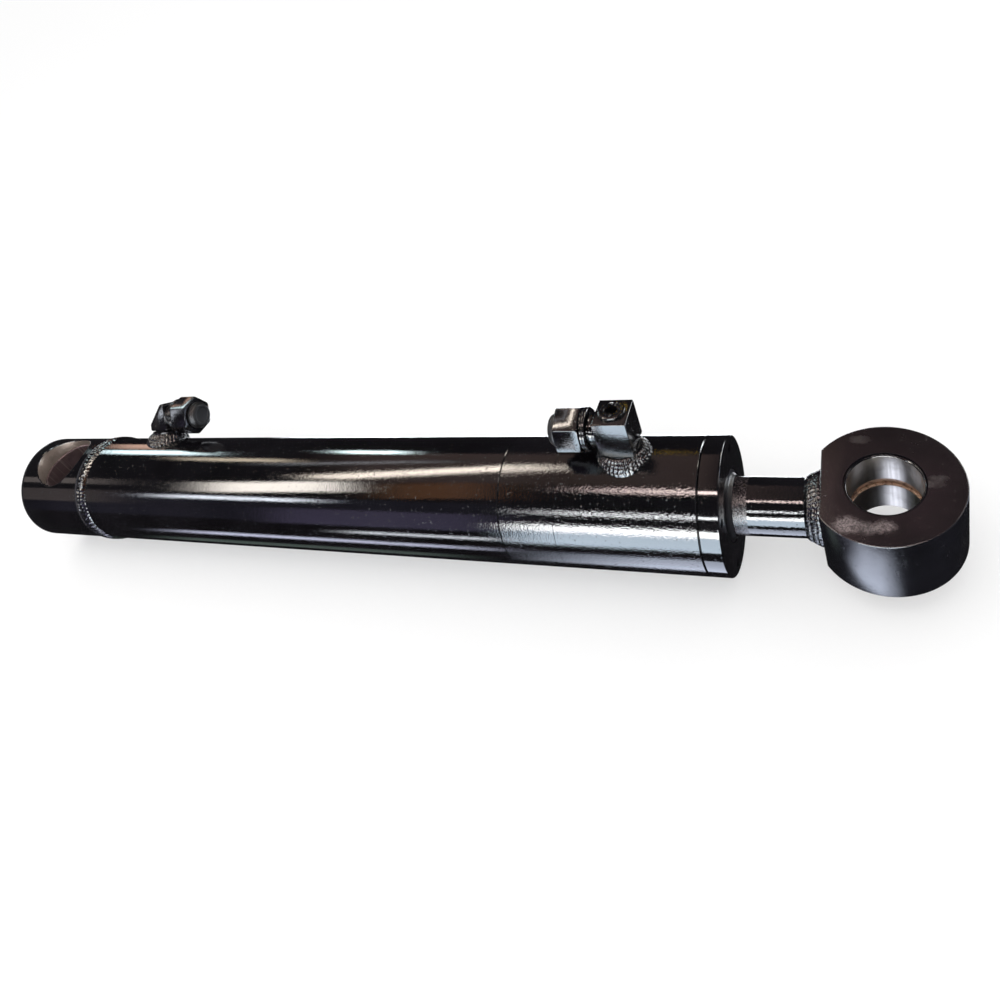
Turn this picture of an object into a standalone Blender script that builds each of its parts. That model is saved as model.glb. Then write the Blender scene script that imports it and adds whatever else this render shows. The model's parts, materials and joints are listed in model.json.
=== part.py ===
"""Welded double-acting hydraulic cylinder with two pin eyes, drawn fully retracted.

The origin is the centre of the rear pin bore. +X runs along the cylinder to the rod eye, and
+Z runs along both pin bores. Every dimension below is in millimetres: finish_mesh() turns
the meshes into metres. Threads are left out, so a screwed pair is a plain shaft in a plain bore.
"""

import math

import bmesh
import bpy
from mathutils import Matrix

MM = 0.001
GAP = 0.3  # clearance between neighbouring pieces

# Steps round the axis, by size of piece
LARGE, MEDIUM, SMALL, FINE = 40, 28, 24, 16

# Barrel
BARREL_R, BORE_R = 60.5, 50.0
SEAM_X = 602.5  # butt joint between the long tube and the head tube
HEAD_TUBE_END_X = 781.0
RIM_CHAMFER, SEAM_CHAMFER = 1.0, 0.4

# Rear cap with its pin bore
CAP_END_X = -53.5
CAP_BORE_R = 35.0
CAP_JOINT_X = 53.7
SPIGOT_END_X, SPIGOT_R, SPIGOT_LEAD = 115.0, BORE_R - GAP, 2.0
CUSHION_POCKET_R, CUSHION_POCKET_X, DRILL_POINT = 18.5, 66.0, 6.0
REAR_BUSH_HALF = 42.0

# Weld between cap and tube: a filled V with a crown
BEAD_HALF, BEAD_CROWN = 9.0, 2.0
V_HALF, V_ROOT_HALF, V_ROOT_R = 6.0, 1.3, 52.5

# Gland (rod guide) that closes the head, bored for the rod
FLANGE_X, FACE_X, FACE_CHAMFER = 781.3, 798.5, 1.5
NOSE_END_X, NOSE_R, INSERT_X, INSERT_R = 700.2, 40.0, 733.0, BORE_R - GAP
GLAND_BORE_R = 25.5
SPANNER_HOLE_R, SPANNER_PITCH_R, SPANNER_DEPTH = 4.0, 50.0, 10.0
SPANNER_ANGLES = (-141.6, -51.6, 38.4, 128.4)  # degrees from +Z towards +Y

# Recesses in the gland as (low end, high end, radius)
WIPER_SEAT = (790.5, FACE_X, 31.3)
FRONT_GUIDE_SEAT = (780.0, 787.0, 27.9)
ROD_SEAL_SEAT = (764.0, 776.0, 32.5)
BUFFER_SEAT = (750.0, 757.0, 31.5)
REAR_GUIDE_SEAT = (706.0, 726.0, 27.9)
HEAD_SEAL_GROOVE = (740.0, 747.0, 46.0)

# Rod and piston
ROD_R = 25.0
PISTON_X, PISTON_END_X, PISTON_R, PISTON_CHAMFER = 149.6, 199.6, 49.4, 1.5
SEAT_R, TAIL_R = 22.0, 20.0
SPEAR_R, SPEAR_TIP_R, SPEAR_END_X, SPEAR_TAPER = 16.0, 13.0, 76.0, 9.0
RING_R = 49.6  # outer radius of what slides on the bore

# Grooves in the piston as (low end, high end, radius)
REAR_RING_GROOVE = (155.6, 165.6, 46.0)
PISTON_SEAL_GROOVE = (168.6, 180.6, 38.0)
FRONT_RING_GROOVE = (183.6, 193.6, 46.0)
PISTON_BORE_GROOVE = (173.5, 177.5, 25.2)

# Piston nut and the screw that locks it
NUT_X, NUT_LENGTH, NUT_ACROSS_FLATS = 115.3, 34.0, 65.0
LOCK_SCREW_R, LOCK_SCREW_LENGTH = 3.0, 9.0

# Rod eye
EYE_X, EYE_R, EYE_HALF = 918.5, 57.3, 34.9
EYE_FLAT_X = 871.7
EYE_BORE_R = 30.0
EYE_BUSH_INNER_Z, EYE_BUSH_OUTER_Z = 3.5, 34.0
BUSH_WALL, BUSH_CHAMFER = 2.5, 1.0

# Ports: where each one stands along the barrel, and how far it leans from +Z towards +Y
FRONT_PORT_X, FRONT_PORT_LEAN = 715.6, 8.1
REAR_PORT_X, REAR_PORT_LEAN = 142.9, 38.6
PORT_BORE_R = 5.0
BOSS_R, BOSS_TOP_Z = 16.0, 71.1
PORT_AXIS_Z = 88.9  # height of the outlet over the barrel's axis

# Port body: half lengths, and heights over the barrel's axis
BODY_HALF_X, BLOCK_HALF_Y, BLOCK_BOTTOM_Z, BLOCK_TOP_Z = 15.0, 16.3, 71.4, 107.8
ELBOW_HALF_Y, ELBOW_BOTTOM_Z, ELBOW_TOP_Z = 14.5, 73.0, 104.6
ELBOW_BACK_X, ELBOW_MITRE_Z, ELBOW_MITRE_X = 11.0, 81.0, -7.5
OUTLET_HOLE_R, OUTLET_HOLE_DEPTH = 8.3, 11.0
PLUG_HOLE_R, PLUG_HOLE_Z, PLUG_SHANK_Z = 10.3, 92.0, 97.5
PLUG_SHANK_R, PLUG_HEAD_R, PLUG_HEAD_HEIGHT = 10.0, 11.9, 2.8
SOCKET_ACROSS_FLATS, SOCKET_DEPTH = 10.0, 6.5

# Fitting, as distances out from the upright axis of the port and radii
SPIGOT_IN, ADAPTER_SPIGOT_R, ADAPTER_BORE_R = 7.0, 8.0, 4.0
NECK_END, NECK_R, NECK_GROOVE_R = 21.4, 15.2, 12.6
COLLAR_START, COLLAR_END, COLLAR_R, COLLAR_CHAMFER = 22.8, 28.0, 19.4, 0.8
CONE_START, CONE_END, CONE_R, CONE_END_R = 36.0, 46.0, 11.2, 9.5
UNION_NUT_START, UNION_NUT_END, UNION_NUT_ACROSS_FLATS, UNION_BORE_R = 28.3, 51.0, 38.0, 11.8
CORNER_CUT_LENGTH, CORNER_CUT_DEPTH = 2.2, 3.4
BLANKING_RIM_R, BLANKING_TIP_R = 15.2, 12.0
FRONT_NUT_TURN = -8.9  # how far the front union nut stands turned from corner-up, in degrees

# Base colour, roughness and metallic value of each finish
FINISHES = {
    "black_paint": ((0.012, 0.011, 0.012), 0.20, 0.0),
    "machined_steel": ((0.46, 0.44, 0.42), 0.34, 1.0),
    "hard_chrome": ((0.62, 0.63, 0.65), 0.10, 1.0),
    "ground_steel": ((0.52, 0.50, 0.48), 0.28, 1.0),
    "nitrile_rubber": ((0.015, 0.015, 0.016), 0.60, 0.0),
    "polyurethane": ((0.045, 0.070, 0.120), 0.40, 0.0),
    "phenolic_fabric": ((0.180, 0.105, 0.050), 0.65, 0.0),
    "filled_ptfe": ((0.160, 0.110, 0.060), 0.45, 0.0),
}


def clear_scene():
    for obj in list(bpy.data.objects):
        bpy.data.objects.remove(obj, do_unlink=True)


def material(name, finish):
    """A Principled material of this object's own."""
    colour, roughness, metallic = FINISHES[finish]
    made = bpy.data.materials.new(name)
    made.use_nodes = True
    shader = made.node_tree.nodes["Principled BSDF"]
    shader.inputs["Base Color"].default_value = (*colour, 1.0)
    shader.inputs["Roughness"].default_value = roughness
    shader.inputs["Metallic"].default_value = metallic
    return made


def finish_mesh(name, bm, finish, parent=None):
    """Turns a mesh drawn in millimetres into a named object in metres."""
    bmesh.ops.remove_doubles(bm, verts=bm.verts, dist=0.001)
    bmesh.ops.recalc_face_normals(bm, faces=bm.faces)
    bmesh.ops.scale(bm, vec=(MM, MM, MM), verts=bm.verts)
    mesh = bpy.data.meshes.new(name)
    bm.to_mesh(mesh)
    bm.free()
    mesh.shade_smooth()
    mesh.set_sharp_from_angle(angle=math.radians(35))
    mesh.materials.append(material(name, finish))
    obj = bpy.data.objects.new(name, mesh)
    bpy.context.scene.collection.objects.link(obj)
    obj.parent = parent
    return obj


def frame(name, x, lean=0.0, turn=0.0):
    """An empty on the cylinder's axis: leaned towards +Y, then turned about its own Z."""
    empty = bpy.data.objects.new(name, None)
    bpy.context.scene.collection.objects.link(empty)
    lean_by = Matrix.Rotation(-math.radians(lean), 4, "X")
    turn_by = Matrix.Rotation(math.radians(turn), 4, "Z")
    empty.matrix_world = Matrix.Translation((x * MM, 0, 0)) @ lean_by @ turn_by
    return empty


def spun(profile, steps, along="X"):
    """Spins (distance along the axis, radius) points round the axis.

    A profile that starts on the axis also ends there and makes a solid. Any other one
    closes on itself and makes a ring.
    """
    bm = bmesh.new()
    points = [bm.verts.new((x, 0, r)) for x, r in profile]
    edges = [bm.edges.new(pair) for pair in zip(points, points[1:])]
    if profile[0][1] > 0:
        edges.append(bm.edges.new((points[-1], points[0])))
    bmesh.ops.spin(
        bm, geom=points + edges, axis=(1, 0, 0), cent=(0, 0, 0),
        angle=math.tau, steps=steps, use_merge=True,
    )
    if along == "Z":
        bm.transform(Matrix.Rotation(-math.pi / 2, 4, "Y"))
    return bm


def turned(name, profile, finish, steps=MEDIUM, along="X", parent=None):
    return finish_mesh(name, spun(profile, steps, along), finish, parent)


def tube(x0, x1, inner, outer):
    return [(x0, inner), (x1, inner), (x1, outer), (x0, outer)]


def rod(x0, x1, radius):
    return [(x0, 0), (x0, radius), (x1, radius), (x1, 0)]


def recess(groove, surface_r):
    """The outline of a groove in a surface of this radius, from its low end to its high end."""
    low, high, radius = groove
    return [(low, surface_r), (low, radius), (high, radius), (high, surface_r)]


def ring_in_seat(seat, inner):
    """A square-cut ring that fills a recess in the gland down to the rod."""
    low, high, radius = seat
    return tube(low + GAP, high - GAP, inner, radius - GAP)


def ring_in_groove(groove, depth):
    """A square-cut ring that fills a groove in the piston and reaches the bore."""
    low, high, _ = groove
    return tube(low + GAP, high - GAP, RING_R - depth, RING_R)


def bush(low, high, outer):
    """A plain bush whose bore is chamfered at both ends."""
    inner = outer - BUSH_WALL
    return [
        (low, inner + BUSH_CHAMFER), (low + BUSH_CHAMFER, inner),
        (high - BUSH_CHAMFER, inner), (high, inner + BUSH_CHAMFER),
        (high, outer - GAP), (low, outer - GAP),
    ]


def round_section(x, radius, section, points=6):
    """The outline of a ring of round section, such as an O-ring."""
    turns = [math.tau * (i + 0.5) / points for i in range(points)]
    return [(x + section * math.cos(a), radius + section * math.sin(a)) for a in turns]


def prism(outline, low, high, along="Z"):
    """Extrudes an outline. Along Z it holds (x, y) points, and along Y it holds (x, z) points."""
    bm = bmesh.new()
    if along == "Z":
        base = [bm.verts.new((u, v, low)) for u, v in outline]
    else:
        base = [bm.verts.new((u, low, v)) for u, v in outline]
    bottom = bm.faces.new(base)
    side = bmesh.ops.extrude_face_region(bm, geom=[bottom])
    moved = [item for item in side["geom"] if isinstance(item, bmesh.types.BMVert)]
    step = (0, 0, high - low) if along == "Z" else (0, high - low, 0)
    bmesh.ops.translate(bm, vec=step, verts=moved)
    return bm


def hexagon(across_flats, first=0.0):
    """Corners of a hexagon round the origin, the first one at this angle in degrees."""
    radius = across_flats / math.sqrt(3)
    turns = [math.radians(first + 60 * i) for i in range(6)]
    return [(radius * math.cos(a), radius * math.sin(a)) for a in turns]


def cut(obj, name, bm, parent=None):
    """Subtracts a mesh drawn in millimetres from an object."""
    cutter = finish_mesh(name, bm, "machined_steel", parent)
    cutter.hide_render = True
    cutter.display_type = "WIRE"
    boolean = obj.modifiers.new(name, "BOOLEAN")
    boolean.operation = "DIFFERENCE"
    boolean.solver = "EXACT"
    boolean.object = cutter


def bevelled(obj, width, segments=1):
    bevel = obj.modifiers.new("edges", "BEVEL")
    bevel.width = width * MM
    bevel.segments = segments
    bevel.limit_method = "ANGLE"
    bevel.angle_limit = math.radians(40)


# Barrel: cap, tubes and the weld between them


def rear_cap():
    """A solid round end with a through bore for the pin and a pocket for the cushion spear."""
    v_start = CAP_JOINT_X - V_HALF
    v_root = CAP_JOINT_X - V_ROOT_HALF
    profile = [
        (CAP_END_X, 0), (CAP_END_X, BARREL_R - RIM_CHAMFER), (CAP_END_X + RIM_CHAMFER, BARREL_R),
        (v_start, BARREL_R), (v_root, V_ROOT_R), (v_root, SPIGOT_R),
        (SPIGOT_END_X - SPIGOT_LEAD, SPIGOT_R), (SPIGOT_END_X, SPIGOT_R - SPIGOT_LEAD),
        (SPIGOT_END_X, CUSHION_POCKET_R), (CUSHION_POCKET_X + DRILL_POINT, CUSHION_POCKET_R),
        (CUSHION_POCKET_X, 0),
    ]
    cap = turned("rear_cap", profile, "black_paint", LARGE)
    through = BARREL_R + 10
    cut(cap, "cut_rear_pin_bore", spun(rod(-through, through, CAP_BORE_R), MEDIUM, "Z"))
    turned("rear_bush", bush(-REAR_BUSH_HALF, REAR_BUSH_HALF, CAP_BORE_R), "machined_steel", MEDIUM, "Z")


def rear_cap_weld():
    """The crown is an arc over the joint, and the root fills the V between cap and tube."""
    surface = BARREL_R + GAP
    below = surface - 2 * GAP
    side, root = V_HALF - 2 * GAP, V_ROOT_HALF - 2 * GAP
    profile = []
    arc_steps = 4
    for i in range(arc_steps + 1):
        a = math.pi * i / arc_steps
        profile.append((BEAD_HALF * math.cos(a), surface + BEAD_CROWN * math.sin(a)))
    profile += [
        (-side, surface), (-side, below), (-root, V_ROOT_R + GAP),
        (root, V_ROOT_R + GAP), (side, below), (side, surface),
    ]
    turned("rear_cap_weld", [(CAP_JOINT_X + x, r) for x, r in profile], "black_paint", LARGE)


def barrel_tubes(front_port, rear_port):
    """The honed tube and the head tube meet at a butt joint, and each has a drilled port."""
    seam_low, seam_high = SEAM_X - GAP / 2, SEAM_X + GAP / 2
    root_x, v_x = CAP_JOINT_X + V_ROOT_HALF, CAP_JOINT_X + V_HALF
    long_tube = [
        (root_x, BORE_R), (seam_low, BORE_R), (seam_low, BARREL_R - SEAM_CHAMFER),
        (seam_low - SEAM_CHAMFER, BARREL_R), (v_x, BARREL_R), (root_x, V_ROOT_R),
    ]
    head_tube = [
        (seam_high, BORE_R), (HEAD_TUBE_END_X, BORE_R), (HEAD_TUBE_END_X, BARREL_R - RIM_CHAMFER),
        (HEAD_TUBE_END_X - RIM_CHAMFER, BARREL_R), (seam_high + SEAM_CHAMFER, BARREL_R),
        (seam_high, BARREL_R - SEAM_CHAMFER),
    ]
    for name, profile, port in (
        ("barrel_tube", long_tube, rear_port), ("head_tube", head_tube, front_port),
    ):
        piece = turned(name, profile, "black_paint", LARGE)
        drill = spun(rod(BORE_R - 10, BARREL_R + 10, PORT_BORE_R), FINE, "Z")
        cut(piece, "cut_port_in_" + name, drill, port)


# Gland and its seals


def gland():
    """Flange, insert with a groove for the head seal, nose, and inside a seat for each ring."""
    outside = [(NOSE_END_X, NOSE_R), (INSERT_X, NOSE_R), (INSERT_X, INSERT_R)]
    outside += recess(HEAD_SEAL_GROOVE, INSERT_R)
    outside += [
        (FLANGE_X, INSERT_R), (FLANGE_X, BARREL_R - RIM_CHAMFER), (FLANGE_X + RIM_CHAMFER, BARREL_R),
        (FACE_X - FACE_CHAMFER, BARREL_R), (FACE_X, BARREL_R - FACE_CHAMFER),
    ]
    inside = [(NOSE_END_X, GLAND_BORE_R)]
    for seat in (REAR_GUIDE_SEAT, BUFFER_SEAT, ROD_SEAL_SEAT, FRONT_GUIDE_SEAT, WIPER_SEAT):
        inside += recess(seat, GLAND_BORE_R)
    inside.pop()  # the wiper's seat is open at the face
    piece = turned("gland", outside + inside[::-1], "black_paint", MEDIUM)
    for i, angle in enumerate(SPANNER_ANGLES):
        hole = spun(rod(FACE_X - SPANNER_DEPTH, FACE_X + 5, SPANNER_HOLE_R), 12)
        bmesh.ops.translate(hole, vec=(0, 0, SPANNER_PITCH_R), verts=hole.verts)
        hole.transform(Matrix.Rotation(-math.radians(angle), 4, "X"))
        cut(piece, "cut_spanner_hole_%d" % (i + 1), hole)


def wiper_seal(inner):
    """Fills its seat, with a lip that reaches past the gland's face to scrape the rod."""
    low, _, radius = WIPER_SEAT
    lip_end = FACE_X + 3.5
    profile = [
        (low + GAP, inner + 0.5), (FACE_X + 0.5, inner + 0.5), (lip_end, inner), (lip_end, inner + 1.0),
        (FACE_X + 0.2, 28.5), (FACE_X - 0.4, radius - GAP), (low + GAP, radius - GAP),
    ]
    turned("wiper_seal", profile, "polyurethane", SMALL)


def rod_seal(inner):
    """A U-cup whose lips open towards the pressure side."""
    low, high, radius = ROD_SEAL_SEAT
    low, high, outer = low + GAP, high - GAP, radius - GAP
    lip = 2.0
    middle = (inner + outer) / 2
    profile = [
        (low, inner), (high, inner + 0.6), (high, outer), (low, outer),
        (low, outer - lip), (low + 4.7, middle), (low, inner + lip),
    ]
    turned("rod_seal", profile, "polyurethane", SMALL)


def gland_seals():
    """What the gland holds: wiper, rod seal, buffer seal, two guide rings and the head seal."""
    inner = ROD_R + GAP
    wiper_seal(inner)
    rod_seal(inner)
    turned("buffer_seal", ring_in_seat(BUFFER_SEAT, inner), "filled_ptfe", SMALL)
    for end, seat in (("front", FRONT_GUIDE_SEAT), ("rear", REAR_GUIDE_SEAT)):
        turned(end + "_rod_guide_ring", ring_in_seat(seat, inner), "phenolic_fabric", SMALL)
    low, high, radius = HEAD_SEAL_GROOVE
    section = 1.5
    o_ring = round_section(low + section + 2 * GAP, radius + section + 2 * GAP, section)
    turned("gland_o_ring", o_ring, "nitrile_rubber", SMALL)
    backup = tube(high - 2.6, high - GAP, radius + 2 * GAP, INSERT_R - GAP)
    turned("gland_backup_ring", backup, "filled_ptfe", SMALL)


# Piston, its rings, and the rod


def piston():
    """A steel piston with one seal groove between two guide ring grooves, clamped by a nut."""
    outside = [(PISTON_X, PISTON_R - PISTON_CHAMFER), (PISTON_X + PISTON_CHAMFER, PISTON_R)]
    for groove in (REAR_RING_GROOVE, PISTON_SEAL_GROOVE, FRONT_RING_GROOVE):
        outside += recess(groove, PISTON_R)
    outside += [(PISTON_END_X - PISTON_CHAMFER, PISTON_R), (PISTON_END_X, PISTON_R - PISTON_CHAMFER)]
    seat_bore = SEAT_R + GAP
    inside = [(PISTON_X, seat_bore)] + recess(PISTON_BORE_GROOVE, seat_bore) + [(PISTON_END_X, seat_bore)]
    turned("piston", outside + inside[::-1], "machined_steel", MEDIUM)


def piston_rings():
    """Guide rings at both ends, and between them the seal on its rubber energiser."""
    turned("piston_guide_ring_rear", ring_in_groove(REAR_RING_GROOVE, 2.8), "phenolic_fabric", SMALL)
    turned("piston_guide_ring_front", ring_in_groove(FRONT_RING_GROOVE, 2.8), "phenolic_fabric", SMALL)
    turned("piston_seal", ring_in_groove(PISTON_SEAL_GROOVE, 7.5), "filled_ptfe", SMALL)
    low, high, radius = PISTON_SEAL_GROOVE
    section = 1.45
    energiser = round_section((low + high) / 2, radius + section + 2 * GAP, section)
    turned("piston_seal_energiser", energiser, "nitrile_rubber", SMALL)
    low, high, radius = PISTON_BORE_GROOVE
    section = 1.2
    o_ring = round_section((low + high) / 2, radius - section - GAP, section)
    turned("piston_bore_o_ring", o_ring, "nitrile_rubber", SMALL)


def piston_rod():
    """One bar: chromed shaft, piston seat, threaded tail and cushion spear."""
    shoulder_x, end_x = PISTON_END_X + GAP, EYE_FLAT_X - GAP
    profile = [
        (SPEAR_END_X, 0), (SPEAR_END_X, SPEAR_TIP_R), (SPEAR_END_X + SPEAR_TAPER, SPEAR_R),
        (NUT_X, SPEAR_R), (NUT_X + 2.0, TAIL_R), (PISTON_X, TAIL_R), (PISTON_X, SEAT_R),
        (shoulder_x, SEAT_R), (shoulder_x, ROD_R), (end_x, ROD_R), (end_x, 0),
    ]
    turned("piston_rod", profile, "hard_chrome", MEDIUM)


def piston_nut():
    """A hexagon nut with a radial grub screw that locks it on the rod's thread."""
    bm = prism(hexagon(NUT_ACROSS_FLATS), NUT_X, NUT_X + NUT_LENGTH)
    bm.transform(Matrix.Rotation(math.pi / 2, 4, "Y"))
    nut = finish_mesh("piston_nut", bm, "machined_steel")
    cut(nut, "cut_nut_thread", spun(rod(NUT_X - 5, NUT_X + NUT_LENGTH + 5, TAIL_R + GAP), MEDIUM))
    middle = frame("nut_screw_frame", NUT_X + NUT_LENGTH / 2)
    screw_hole = rod(TAIL_R - 5, NUT_ACROSS_FLATS, LOCK_SCREW_R + GAP)
    cut(nut, "cut_nut_screw", spun(screw_hole, 12, "Z"), middle)
    low = TAIL_R + 2 * GAP
    screw = rod(low, low + LOCK_SCREW_LENGTH, LOCK_SCREW_R)
    turned("piston_nut_screw", screw, "machined_steel", 12, "Z", middle)


# Rod eye


def rod_eye():
    """A flat-backed round eye, bored for two bushes with a grease gap between them."""
    half_flat = math.sqrt(EYE_R**2 - (EYE_X - EYE_FLAT_X) ** 2)
    flat_angle = math.pi - math.atan2(half_flat, EYE_X - EYE_FLAT_X)
    outline = []
    for i in range(LARGE + 1):
        a = flat_angle * (2 * i / LARGE - 1)
        outline.append((EYE_X + EYE_R * math.cos(a), EYE_R * math.sin(a)))
    eye = finish_mesh("rod_eye", prism(outline, -EYE_HALF, EYE_HALF), "black_paint")
    bevelled(eye, 1.0)
    centre = frame("rod_eye_frame", EYE_X)
    through = EYE_HALF + 10
    cut(eye, "cut_rod_eye_bore", spun(rod(-through, through, EYE_BORE_R), MEDIUM, "Z"), centre)
    for name, low, high in (
        ("upper", EYE_BUSH_INNER_Z, EYE_BUSH_OUTER_Z), ("lower", -EYE_BUSH_OUTER_Z, -EYE_BUSH_INNER_Z),
    ):
        turned("rod_eye_bush_" + name, bush(low, high, EYE_BORE_R), "ground_steel", MEDIUM, "Z", centre)


def rod_eye_weld():
    """A hollow fillet round the rod where it meets the eye's flat."""
    inner = ROD_R + GAP
    fillet = [(0.0, 31.5), (2.0, 31.0), (5.0, 28.8), (9.0, 27.4), (12.0, 26.8)]
    profile = [(0.0, inner)] + fillet + [(13.0, inner)]
    turned("rod_eye_weld", [(EYE_FLAT_X - GAP - back, r) for back, r in profile], "black_paint", MEDIUM)


# Ports. Their local frame has Z up out of the barrel and the outlet along -X.


def outlet_bm(profile):
    """Spins (distance out from the upright axis, radius) points round the outlet's axis."""
    bm = spun([(-x, r) for x, r in profile], FINE)
    bmesh.ops.translate(bm, vec=(0, 0, PORT_AXIS_Z), verts=bm.verts)
    return bm


def saddled(name, profile, port):
    """A turned piece that stands on the barrel and is cut to its curve."""
    piece = turned(name, profile, "black_paint", SMALL, "Z", port)
    barrel = spun(rod(-60, 60, BARREL_R + GAP), 2 * LARGE)
    cut(piece, "cut_saddle_of_" + name, barrel, port)


def port_base(side, port):
    """A round boss saddled onto the barrel, and the fillet weld round it."""
    below = BORE_R
    saddled(side + "_port_boss", tube(below, BOSS_TOP_Z, PORT_BORE_R, BOSS_R), port)
    inner = BOSS_R + GAP
    fillet = [(69.5, inner), (69.2, 17.8), (66.5, 20.6), (63.5, 22.8), (60.6, 24.4), (below, 25.4)]
    saddled(side + "_port_weld", [(below, inner)] + fillet, port)


def cut_outlet(obj, side, port):
    """The threaded outlet and the drilling that joins it to the upright one."""
    hole_end = BODY_HALF_X - OUTLET_HOLE_DEPTH
    steps = [
        (BODY_HALF_X + 5, 0), (BODY_HALF_X + 5, OUTLET_HOLE_R), (hole_end, OUTLET_HOLE_R),
        (hole_end, PORT_BORE_R), (-2.0, PORT_BORE_R), (-2.0, 0),
    ]
    cut(obj, "cut_%s_port_outlet" % side, outlet_bm(steps), port)


def front_port_block(port):
    """A square block, drilled from the top for a plug."""
    corners = [
        (-BODY_HALF_X, -BLOCK_HALF_Y), (BODY_HALF_X, -BLOCK_HALF_Y),
        (BODY_HALF_X, BLOCK_HALF_Y), (-BODY_HALF_X, BLOCK_HALF_Y),
    ]
    block = finish_mesh("front_port_block", prism(corners, BLOCK_BOTTOM_Z, BLOCK_TOP_Z), "black_paint", port)
    bevelled(block, 0.8)
    low, high = BLOCK_BOTTOM_Z - 10, BLOCK_TOP_Z + 10
    upright = [
        (low, 0), (low, PORT_BORE_R), (PLUG_HOLE_Z, PORT_BORE_R), (PLUG_HOLE_Z, PLUG_HOLE_R),
        (high, PLUG_HOLE_R), (high, 0),
    ]
    cut(block, "cut_front_port_upright", spun(upright, FINE, "Z"), port)
    cut_outlet(block, "front", port)


def front_port_plug(port):
    """A socket-head plug that closes the top of the block."""
    head_z = BLOCK_TOP_Z + GAP
    top_z = head_z + PLUG_HEAD_HEIGHT
    chamfer = 0.6
    profile = [
        (PLUG_SHANK_Z, 0), (PLUG_SHANK_Z, PLUG_SHANK_R), (head_z, PLUG_SHANK_R), (head_z, PLUG_HEAD_R),
        (top_z - chamfer, PLUG_HEAD_R), (top_z, PLUG_HEAD_R - chamfer), (top_z, 0),
    ]
    plug = turned("front_port_plug", profile, "black_paint", SMALL, "Z", port)
    socket = prism(hexagon(SOCKET_ACROSS_FLATS), top_z - SOCKET_DEPTH, top_z + 5)
    cut(plug, "cut_front_port_plug_socket", socket, port)


def rear_port_elbow(port):
    """A forged elbow with a mitred back."""
    outline = [
        (-BODY_HALF_X, ELBOW_BOTTOM_Z), (ELBOW_BACK_X, ELBOW_BOTTOM_Z), (ELBOW_BACK_X, ELBOW_MITRE_Z),
        (ELBOW_MITRE_X, ELBOW_TOP_Z), (-BODY_HALF_X, ELBOW_TOP_Z),
    ]
    elbow = finish_mesh(
        "rear_port_elbow", prism(outline, -ELBOW_HALF_Y, ELBOW_HALF_Y, "Y"), "black_paint", port
    )
    bevelled(elbow, 2.0, 2)
    upright = spun(rod(ELBOW_BOTTOM_Z - 10, PORT_AXIS_Z, PORT_BORE_R), FINE, "Z")
    cut(elbow, "cut_rear_port_upright", upright, port)
    cut_outlet(elbow, "rear", port)


def port_adapter(side, port):
    """A bored adapter: spigot in the body, neck, groove, collar and the cone the nut pulls on."""
    face = BODY_HALF_X + GAP
    outside = [
        (SPIGOT_IN, ADAPTER_SPIGOT_R), (face, ADAPTER_SPIGOT_R), (face, NECK_R), (NECK_END, NECK_R),
        (NECK_END, NECK_GROOVE_R), (COLLAR_START, NECK_GROOVE_R), (COLLAR_START, COLLAR_R - COLLAR_CHAMFER),
        (COLLAR_START + COLLAR_CHAMFER, COLLAR_R), (COLLAR_END - COLLAR_CHAMFER, COLLAR_R),
        (COLLAR_END, COLLAR_R - COLLAR_CHAMFER), (COLLAR_END, CONE_R), (CONE_START, CONE_R),
        (CONE_END, CONE_END_R),
    ]
    inside = [(CONE_END, ADAPTER_BORE_R), (SPIGOT_IN, ADAPTER_BORE_R)]
    finish_mesh(side + "_port_adapter", outlet_bm(outside + inside), "black_paint", port)


def union_nut(side, port, first):
    """A hexagon nut, its corners turned down at both ends, bored for adapter and plug."""
    bm = prism(hexagon(UNION_NUT_ACROSS_FLATS, first), -UNION_NUT_END, -UNION_NUT_START)
    bm.transform(Matrix.Rotation(math.pi / 2, 4, "Y"))
    bmesh.ops.translate(bm, vec=(0, 0, PORT_AXIS_Z), verts=bm.verts)
    nut = finish_mesh(side + "_port_union_nut", bm, "black_paint", port)
    corner = UNION_NUT_ACROSS_FLATS / math.sqrt(3)
    beyond, clear = 3.0, corner + 9
    low_r, high_r = corner - CORNER_CUT_DEPTH, corner + 0.4
    tools = {"bore": rod(UNION_NUT_START - 5, UNION_NUT_END + 5, UNION_BORE_R)}
    for name, face, outward in (("inner", UNION_NUT_START, -1), ("outer", UNION_NUT_END, 1)):
        tip, root = face + outward * beyond, face - outward * CORNER_CUT_LENGTH
        tools[name + "_corners"] = [(tip, low_r), (root, high_r), (root, clear), (tip, clear)]
    for name, profile in tools.items():
        cut(nut, "cut_%s_of_%s_union_nut" % (name, side), outlet_bm(profile), port)


def blanking_plug(side, port):
    """A round plug pushed into the union nut to keep dirt out."""
    face = UNION_NUT_END + GAP
    shank_r = UNION_BORE_R - 0.5
    profile = [
        (face - 4.6, 0), (face - 4.6, shank_r), (face, shank_r), (face, BLANKING_RIM_R),
        (face + 3.4, BLANKING_RIM_R), (face + 4.4, BLANKING_RIM_R - 1.0),
        (face + 6.6, BLANKING_TIP_R + 1.2), (face + 7.4, BLANKING_TIP_R), (face + 7.4, 0),
    ]
    finish_mesh(side + "_port_blanking_plug", outlet_bm(profile), "black_paint", port)


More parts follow.
